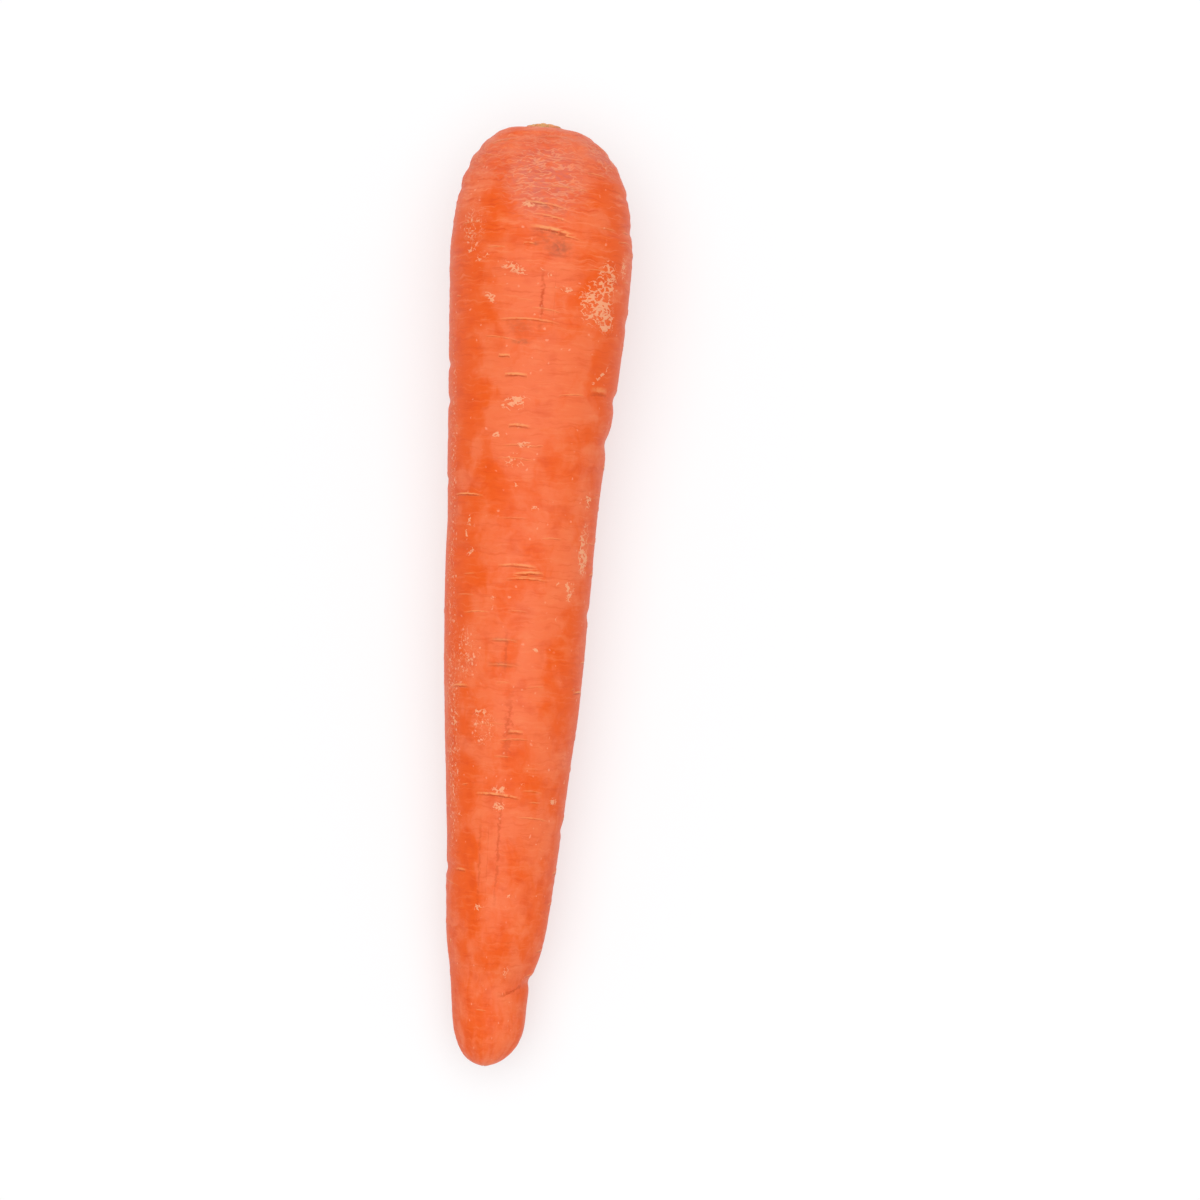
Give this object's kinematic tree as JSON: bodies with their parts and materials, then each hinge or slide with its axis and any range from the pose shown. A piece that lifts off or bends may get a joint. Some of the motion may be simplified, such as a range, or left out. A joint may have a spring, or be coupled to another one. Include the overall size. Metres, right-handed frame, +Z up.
{
  "type": "carrot",
  "caption": "Whole topped carrot root lying on its side: a round shoulder with trimmed leaf bases, tapering past a slight waist to a blunt tip.",
  "frame": {"origin": "centre of the bounding box's base, on the surface that the carrot lies on", "axes": "+Y along the root from the tip to the crown, +Z up, +X to the right seen from above with the crown up"},
  "size_m": [0.0382, 0.2, 0.0386],
  "materials": {
    "root_skin": "moist satin",
    "leaf_base_tissue": "dry matte"
  },
  "bodies": {
    "root": {"carrot_root": "root_skin", "leaf_bases": "leaf_base_tissue"}
  },
  "joints": []
}
